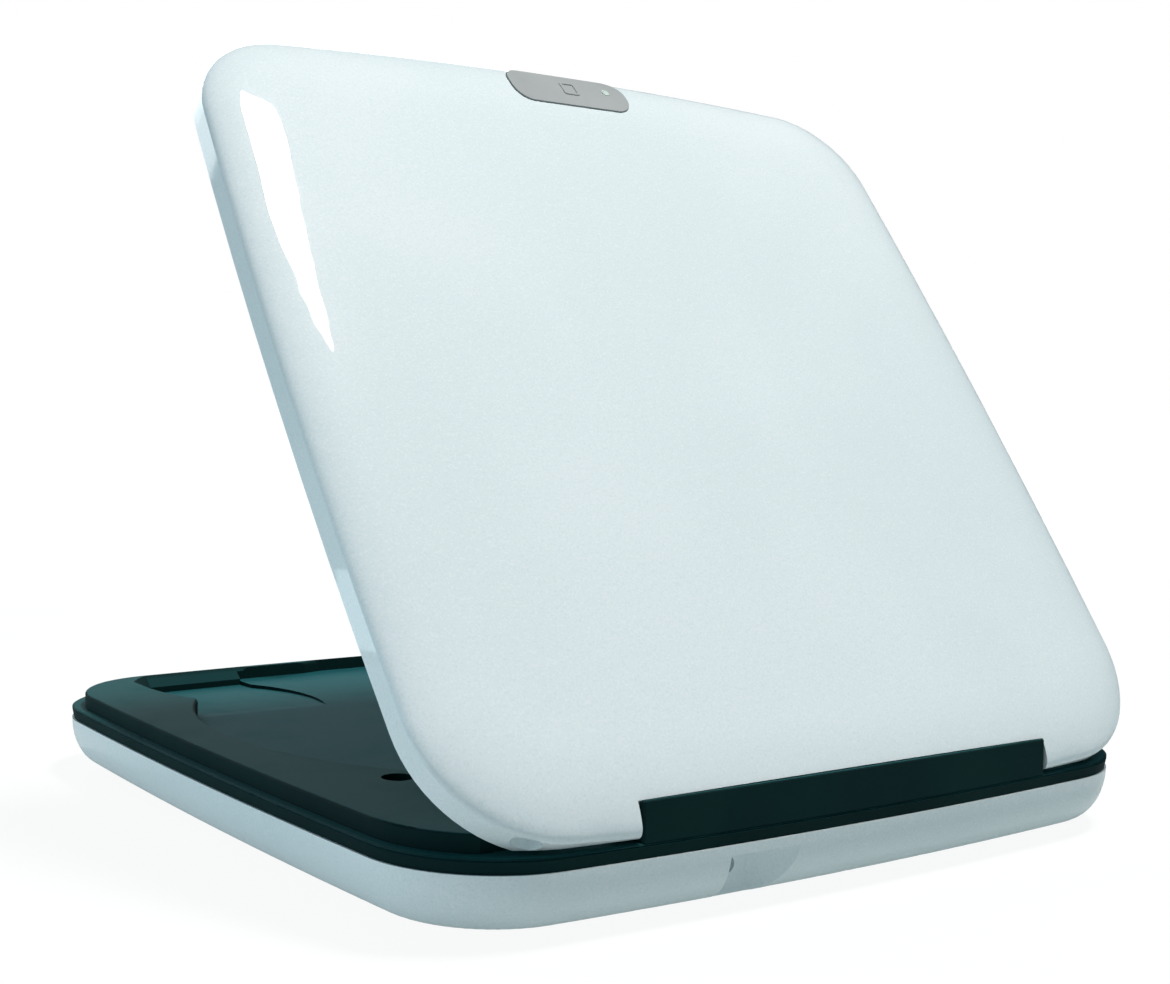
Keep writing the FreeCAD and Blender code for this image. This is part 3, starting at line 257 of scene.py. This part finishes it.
def mouldedFinish(name, look):
    # moulded plastic or rubber with a fine spark-eroded grain; on the deck, painted light also
    # colours the faces that look up lighter
    material, start, place = newFinish(name)
    clouds = place.noise(*moulding["cloudNoise"]).step(*moulding["cloudStep"])
    grain = place.noise(look["grainScale"], *moulding["grainDetail"])
    rubbed = place.noise(*moulding["rubNoise"]).step(*moulding["rubStep"])
    base = clouds.blend(look["dark"], look["light"])
    if "paintedPaleFloors" in look:
        # painted light: faces that look up take a lighter colour, and the well's and the scoop's
        # floors a paler one still, in place of the light they catch
        normal = start.make("ShaderNodeNewGeometry", output="Normal")
        paintedLightUpward = normal.axis("Z").step(*moulding["paintedLightUpwardStep"])
        base = (paintedLightUpward * paintedLightFloors(start)).blend(paintedLightUpward.blend(base, look["upper"]), look["paintedPaleFloors"])
    dulled = rubbed * moulding["rubDulls"] + grain * moulding["grainDulls"]
    surface(start, {
        "Base Color": base,
        "Roughness": look["roughness"] + dulled,
        "Specular IOR Level": look.get("specular", moulding["specular"]),
        "Normal": grain.bump(*look["bump"]),
    })
    return material


darkDeck = {
    "dark": tone(9, 37, 38),
    "light": tone(12, 43, 43),
    "upper": tone(22, 76, 78),     # painted light: faces that look up are coloured lighter, in place of the light falling on them
    "paintedPaleFloors": tone(27, 86, 90),    # painted light: the well's and the scoop's floors are painted a little paler, as if they caught more light
    "roughness": 0.72,
    "specular": 0.08,
    "grainScale": 3200.0,
    "bump": (0.2, 0.00005),
}
greyButton = {
    "dark": tone(160, 164, 163),
    "light": tone(174, 178, 176),
    "roughness": 0.30,
    "grainScale": 1800.0,
    "bump": (0.15, 0.00003),
}
linerPlastic = {
    "dark": tone(24, 46, 46),
    "light": tone(31, 56, 55),
    "roughness": 0.48,
    "grainScale": 1500.0,
    "bump": (0.4, 0.00008),
}
blackRubber = {
    "dark": tone(26, 27, 28),
    "light": tone(36, 37, 38),
    "roughness": 0.72,
    "grainScale": 1400.0,
    "bump": (0.5, 0.00008),
}
blackChip = {
    "dark": tone(28, 29, 31),
    "light": tone(38, 39, 41),
    "roughness": 0.5,
    "grainScale": 2400.0,
    "bump": (0.4, 0.00005),
}
hubPlastic = {
    "dark": tone(30, 33, 36),
    "light": tone(40, 43, 46),
    "roughness": 0.42,
    "grainScale": 1600.0,
    "bump": (0.25, 0.00005),
}
carrierPlastic = {
    "dark": tone(34, 34, 36),
    "light": tone(46, 46, 48),
    "roughness": 0.38,
    "grainScale": 1600.0,
    "bump": (0.2, 0.00005),
}
filmSheet = {
    "dark": tone(150, 128, 74),
    "light": tone(176, 150, 90),
    "roughness": 0.34,
    "grainScale": 900.0,
    "bump": (0.1, 0.00003),
}

# what all the metal pieces share
drawing = {
    "stretch": (1.0, 0.15, 0.15),
    "lineDetail": (3.0, 0.6),
    "lineDulls": 0.12,
    "dullNoise": (160.0, 4.0, 0.6),
    "dullStep": (0.4, 0.8),
    "dulling": 0.08,
    "bump": (0.12, 0.00003),
}


def metalFinish(name, look):
    # drawn or turned metal: fine lines, a little dulling where it is handled
    material, start, place = newFinish(name)
    stretched = start.vector("MULTIPLY", place, drawing["stretch"])
    lines = stretched.noise(look["lineScale"], *drawing["lineDetail"])
    dulled = place.noise(*drawing["dullNoise"]).step(*drawing["dullStep"])
    surface(start, {
        "Base Color": dulled.blend(look["light"], look["dark"]),
        "Metallic": 1.0,
        "Roughness": look["roughness"] + lines * drawing["lineDulls"] + dulled * drawing["dulling"],
        "Normal": lines.bump(*drawing["bump"]),
    })
    return material


turnedSteel = {
    "dark": tone(150, 152, 154),
    "light": tone(186, 188, 190),
    "roughness": 0.26,
    "lineScale": 2600.0,
}
platedSteel = {
    "dark": tone(168, 170, 168),
    "light": tone(200, 201, 198),
    "roughness": 0.34,
    "lineScale": 900.0,
}
canMetal = {
    "dark": tone(176, 178, 180),
    "light": tone(206, 208, 209),
    "roughness": 0.22,
    "lineScale": 1500.0,
}
sledCasting = {
    "dark": tone(120, 122, 124),
    "light": tone(154, 156, 157),
    "roughness": 0.5,
    "lineScale": 500.0,
}
brassPlate = {
    "dark": tone(190, 158, 92),
    "light": tone(216, 186, 118),
    "roughness": 0.25,
    "lineScale": 1200.0,
}

circuitBoard = {
    "mask": tone(22, 84, 52),
    "track": tone(34, 104, 66),
    "trackScale": 420.0,
    "trackStep": (0.42, 0.5),
    "trackGloss": 0.06,
    "pad": tone(190, 176, 120),
    "padScale": 700.0,
    "padStep": (0.9, 0.94),
    "padMetal": 0.6,
    "roughness": 0.38,
    "bump": (0.4, 0.00003),
}


def boardFinish(name, look):
    material, start, place = newFinish(name)
    track = place.cells(look["trackScale"]).step(*look["trackStep"])
    pads = (1 - place.cells(look["padScale"])).step(*look["padStep"])
    base = track.blend(look["mask"], look["track"])
    surface(start, {
        "Base Color": pads.blend(base, look["pad"]),
        "Roughness": look["roughness"] - track * look["trackGloss"],
        "Metallic": pads * look["padMetal"],
        "Normal": track.bump(*look["bump"]),
    })
    return material


# what both lenses share
clearMoulding = {
    "swirlNoise": (900.0, 2.0),
    "swirlStep": (0.3, 0.7),
    "swirlDulls": 0.05,
    "coat": 0.6,
    "coatRoughness": 0.05,
}


def lensFinish(name, look):
    material, start, place = newFinish(name)
    swirl = place.noise(*clearMoulding["swirlNoise"]).step(*clearMoulding["swirlStep"])
    surface(start, {
        "Base Color": swirl.blend(look["body"], look["core"]),
        "Roughness": look["roughness"] + swirl * clearMoulding["swirlDulls"],
        "Coat Weight": clearMoulding["coat"],
        "Coat Roughness": clearMoulding["coatRoughness"],
    })
    return material


indicatorLens = {
    "body": tone(196, 214, 206),
    "core": tone(222, 236, 226),
    "roughness": 0.18,
}
pickupLens = {
    "body": tone(46, 56, 92),
    "core": tone(92, 96, 140),
    "roughness": 0.05,
}

makers = {
    "white_shell": (pearlFinish, pearlShell),
    "deck_plastic": (mouldedFinish, darkDeck),
    "liner_plastic": (mouldedFinish, linerPlastic),
    "button_plastic": (mouldedFinish, greyButton),
    "indicator": (lensFinish, indicatorLens),
    "rubber": (mouldedFinish, blackRubber),
    "steel": (metalFinish, turnedSteel),
    "plated_steel": (metalFinish, platedSteel),
    "board": (boardFinish, circuitBoard),
    "chip": (mouldedFinish, blackChip),
    "can_metal": (metalFinish, canMetal),
    "contact_brass": (metalFinish, brassPlate),
    "film": (mouldedFinish, filmSheet),
    "hub_plastic": (mouldedFinish, hubPlastic),
    "ball_steel": (metalFinish, turnedSteel),
    "sled_metal": (metalFinish, sledCasting),
    "lens_carrier": (mouldedFinish, carrierPlastic),
    "lens_glass": (lensFinish, pickupLens),
}
finishes = {name: maker(name + "Finish", look) for name, (maker, look) in makers.items()}
print("finishes made:", len(finishes))

slotOf = {part["node"]: part["material_slot"] for part in frame["record"]["subparts"]}
for name, node in nodes.items():
    node.data.materials.clear()
    node.data.materials.append(finishes[slotOf[name]])
print("CAD nodes dressed:", len(nodes))


def newPiece(name, work):
    # turns finished bmesh work into an object
    mesh = bpy.data.meshes.new(name)
    work.to_mesh(mesh)
    work.free()
    piece = bpy.data.objects.new(name, mesh)
    bpy.context.collection.objects.link(piece)
    return piece


crossRecess = {
    "width": 0.00042,
    "reach": 0.00105,          # from the screw's middle to the end of each arm
    "narrow": 0.55,            # share of the reach left at the bottom
    "depth": 0.0007,
    "above": 0.0003,
    "flat": 0.00005,           # how far below the top a point still counts as the head's face
    "weld": 0.000001,
}


def weldedCopy(node, look):
    # a CAD node's mesh to work on, with its split corners joined
    work = bmesh.new()
    work.from_mesh(node.data)
    work.transform(node.matrix_world)
    bmesh.ops.remove_doubles(work, verts=work.verts, dist=look["weld"])
    return work


def headSpots(node, facing, look):
    # the middle of each screw head's face, one for each separate screw in the node
    work = weldedCopy(node, look)
    seen = set()
    spots = []
    for first in work.verts:
        if first in seen:
            continue
        seen.add(first)
        waiting = [first]
        screw = []
        while waiting:
            vertex = waiting.pop()
            screw.append(vertex.co.copy())
            for edge in vertex.link_edges:
                other = edge.other_vert(vertex)
                if other not in seen:
                    seen.add(other)
                    waiting.append(other)
        top = max(spot.dot(facing) for spot in screw)
        face = [spot for spot in screw if spot.dot(facing) > top - look["flat"]]
        spots.append(sum(face, Vector()) / len(face))
    work.free()
    return spots


def armCutter(spots, facing, along, look):
    # one tapered bar across each head
    sideways = facing.cross(along)
    half = look["width"] / 2
    levels = ((look["above"], look["reach"]), (-look["depth"], look["reach"] * look["narrow"]))
    work = bmesh.new()
    for spot in spots:
        corners = []
        for height, reach in levels:
            for end, side in ((1, 1), (-1, 1), (-1, -1), (1, -1)):
                corner = spot + facing * height + along * (end * reach) + sideways * (side * half)
                corners.append(work.verts.new(corner))
        upper, lower = corners[:4], corners[4:]
        work.faces.new(upper)
        work.faces.new(lower)
        for k in range(4):
            j = (k + 1) % 4
            work.faces.new((upper[k], upper[j], lower[j], lower[k]))
    bmesh.ops.recalc_face_normals(work, faces=work.faces)
    return newPiece("armCutter", work)


def crossHeads(name, body, facing, look):
    node = nodes[name]
    spots = headSpots(node, facing, look)
    cutters = [armCutter(spots, facing, way, look) for way in (across, facing.cross(across))]
    piece = newPiece(name + "Crossed", weldedCopy(node, look))
    for cutter in cutters:
        cut = piece.modifiers.new("cut", "BOOLEAN")
        cut.operation = "DIFFERENCE"
        cut.solver = "EXACT"
        cut.object = cutter
    ready = piece.evaluated_get(bpy.context.evaluated_depsgraph_get())
    finished = bpy.data.meshes.new_from_object(ready)
    piece.modifiers.clear()
    piece.data = finished
    for cutter in cutters:
        bpy.data.objects.remove(cutter)
    finished.materials.clear()
    finished.materials.append(finishes[slotOf[name]])
    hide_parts(name)
    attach(piece, body)


crossHeads("liner_screws", "lid", -lidOut, crossRecess)
crossHeads("case_screws", "case", down, crossRecess)
print("screw heads crossed")


stopMark = {
    "side": 0.0034,            # a plain raised square, the usual sign for stopping
    "stroke": 0.00055,
    "corner": 0.0006,
    "leastCorner": 0.00015,
    "turns": 5,                # steps round each corner
    "raise": 0.00018,
    "edge": 0.00008,
    "sink": 0.00025,
    "above": 0.02,             # where the search for the button's skin starts
}


def roundSquare(half, corner, turns):
    spots = []
    for quarter, (right, up) in enumerate(((1, 1), (-1, 1), (-1, -1), (1, -1))):
        centre = Vector((right, up)) * (half - corner)
        for step in range(turns + 1):
            angle = math.radians(90 * (quarter + step / turns))
            spots.append(centre + corner * Vector((math.cos(angle), math.sin(angle))))
    return spots


def makeMark(look):
    # a raised ring that follows the button's curved skin
    button = nodes["stop_button"]
    centre = nodeCentre("stop_button")
    points = [button.matrix_world @ vertex.co for vertex in button.data.vertices]
    skin = BVHTree.FromPolygons(points, [face.vertices[:] for face in button.data.polygons])
    half, stroke, edge = look["side"] / 2, look["stroke"], look["edge"]
    rings = (
        (half, -look["sink"]),
        (half, look["raise"] - edge),
        (half - edge, look["raise"]),
        (half - stroke + edge, look["raise"]),
        (half - stroke, look["raise"] - edge),
        (half - stroke, -look["sink"]),
    )
    work = bmesh.new()
    loops = []
    for reach, height in rings:
        corner = max(look["corner"] - (half - reach), look["leastCorner"])
        loop = []
        for spot in roundSquare(reach, corner, look["turns"]):
            start = centre + across * spot.x + lidUp * spot.y + lidOut * look["above"]
            found = skin.ray_cast(start, -lidOut)[0]
            loop.append(work.verts.new(found + lidOut * height))
        loops.append(loop)
    count = len(loops[0])
    for k, loop in enumerate(loops):
        after = loops[(k + 1) % len(loops)]
        for j in range(count):
            ahead = (j + 1) % count
            work.faces.new((loop[j], loop[ahead], after[ahead], after[j]))
    bmesh.ops.recalc_face_normals(work, faces=work.faces)
    piece = newPiece("stopMark", work)
    piece.data.materials.append(finishes["button_plastic"])
    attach(piece, "stop_button")


makeMark(stopMark)
print("stop mark made")


studio = {
    "worldLight": 0.18,
    "worldTint": (0.74, 1.05, 1.22, 1),
    "backdrop": (1, 1, 1, 1),
    "backdropLight": 1.0,
    "floorReach": 6.0,
    "floorDrop": 0.00005,
    "floorTint": (0.60, 0.64, 0.64, 1),
    "floorSeen": 0.86,         # share of the near floor that the lens sees as plain white
    "floorWhite": 1.06,
    "nearFloor": 0.25,         # the shadow fades out between these two distances
    "farFloor": 0.80,
    "floorLit": 0.5,           # share that glows for all other rays, like a light table
    "floorGlow": 0.5,
    "glowTint": (0.85, 1.0, 1.02, 1),
}

# each lamp's length runs along the given way
lamps = {
    "keyLight": {
        "place": (-0.180, 0.200, 0.95), "target": (0, 0.03, 0.07), "along": (-0.926, 0.375, 0),
        "size": (0.19, 0.18), "power": 7.6, "colour": (1.07, 1.02, 1.0),
    },
    "fillLight": {
        "place": (0.9, 0.5, 0.45), "target": (0, 0, 0.05), "along": (0, 0, 1),
        "size": (0.7, 0.7), "power": 0.2, "colour": (0.85, 1.0, 1.1),
    },
    "sideLight": {
        "place": (0.85, -0.35, 0.20), "target": (0.05, 0, 0.03), "along": (0, 0, 1),
        "size": (0.9, 0.35), "power": 0.9, "colour": (0.72, 1.0, 1.2),
    },
    "frontLight": {
        "place": (-0.10, -1.10, 0.55), "target": (0, 0, 0.02), "along": (0, 0, 1),
        "size": (1.4, 0.6), "power": 7.0, "colour": (0.95, 1.0, 1.0),
    },
    "cardLight": {
        "place": (0.17, -0.02, 0.012), "target": (0.07, -0.02, 0.006), "along": (0, 0, 1),
        "size": (0.22, 0.02), "power": 0.024, "colour": (0.85, 1.0, 1.1),
    },
}


def softbox(name, place, target, along, size, power, colour):
    light = bpy.data.lights.new(name, "AREA")
    light.shape = "RECTANGLE"
    light.size, light.size_y = size
    light.energy = power
    light.color = colour
    lamp = bpy.data.objects.new(name, light)
    bpy.context.collection.objects.link(lamp)
    back = (Vector(place) - Vector(target)).normalized()
    wide = Vector(along).cross(back).normalized()
    turn = Matrix((wide, back.cross(wide), back)).transposed().to_4x4()
    lamp.matrix_world = Matrix.Translation(place) @ turn


def buildWorld():
    world = bpy.data.worlds.new("studio")
    bpy.context.scene.world = world
    world.use_nodes = True
    world.node_tree.nodes.clear()
    start = Wire(world.node_tree, None)
    seen = start.make("ShaderNodeLightPath", output="Is Camera Ray")
    dome = start.make("ShaderNodeBackground",
                      {"Color": studio["worldTint"], "Strength": studio["worldLight"]})
    white = start.make("ShaderNodeBackground",
                       {"Color": studio["backdrop"], "Strength": studio["backdropLight"]})
    mixed = start.make("ShaderNodeMixShader", {0: seen, 1: dome, 2: white})
    start.make("ShaderNodeOutputWorld", {"Surface": mixed})


def buildFloor():
    mesh = bpy.data.meshes.new("floor")
    reach = studio["floorReach"]
    corners = [(-reach, -reach, 0), (reach, -reach, 0), (reach, reach, 0), (-reach, reach, 0)]
    mesh.from_pydata(corners, [], [(0, 1, 2, 3)])
    floor = bpy.data.objects.new("floor", mesh)
    floor.location.z = -studio["floorDrop"]
    bpy.context.collection.objects.link(floor)
    material, start, place = newFinish("floorFinish")
    seen = start.make("ShaderNodeLightPath", output="Is Camera Ray")
    paper = start.make("ShaderNodeBsdfDiffuse", {"Color": studio["floorTint"]})
    white = start.make("ShaderNodeEmission",
                       {"Color": studio["backdrop"], "Strength": studio["floorWhite"]})
    glow = start.make("ShaderNodeEmission",
                      {"Color": studio["glowTint"], "Strength": studio["floorGlow"]})
    litShare = studio["floorLit"] * (1 - seen)
    lit = start.make("ShaderNodeMixShader", {0: litShare, 1: paper, 2: glow})
    away = start.vector("LENGTH", place, output="Value")
    far = away.step(studio["nearFloor"], studio["farFloor"])
    whiteShare = studio["floorSeen"] + far * (1 - studio["floorSeen"])
    mixed = start.make("ShaderNodeMixShader", {0: seen * whiteShare, 1: lit, 2: white})
    start.make("ShaderNodeOutputMaterial", {"Surface": mixed})
    mesh.materials.append(material)


viewpoint = {
    "place": (0.18207, 0.24753, 0.07191),
    "right": (-0.80429, 0.59376, 0.02367),
    "up": (-0.01746, -0.06342, 0.99783),
    "back": (0.59397, 0.80214, 0.06138),
    "lens": 53.94,
    "sensor": 36.0,
    "nearest": 0.01,
    "farthest": 30.0,
}


def buildCamera():
    data = bpy.data.cameras.new("camera")
    data.sensor_width = viewpoint["sensor"]
    data.lens = viewpoint["lens"]
    data.clip_start = viewpoint["nearest"]
    data.clip_end = viewpoint["farthest"]
    camera = bpy.data.objects.new("camera", data)
    bpy.context.collection.objects.link(camera)
    turn = Matrix((viewpoint["right"], viewpoint["up"], viewpoint["back"])).transposed().to_4x4()
    camera.matrix_world = Matrix.Translation(viewpoint["place"]) @ turn
    bpy.context.scene.camera = camera


buildWorld()
for name, setting in lamps.items():
    softbox(name, **setting)
buildFloor()
buildCamera()
bpy.context.scene.view_settings.view_transform = "Standard"
print("studio and camera ready")
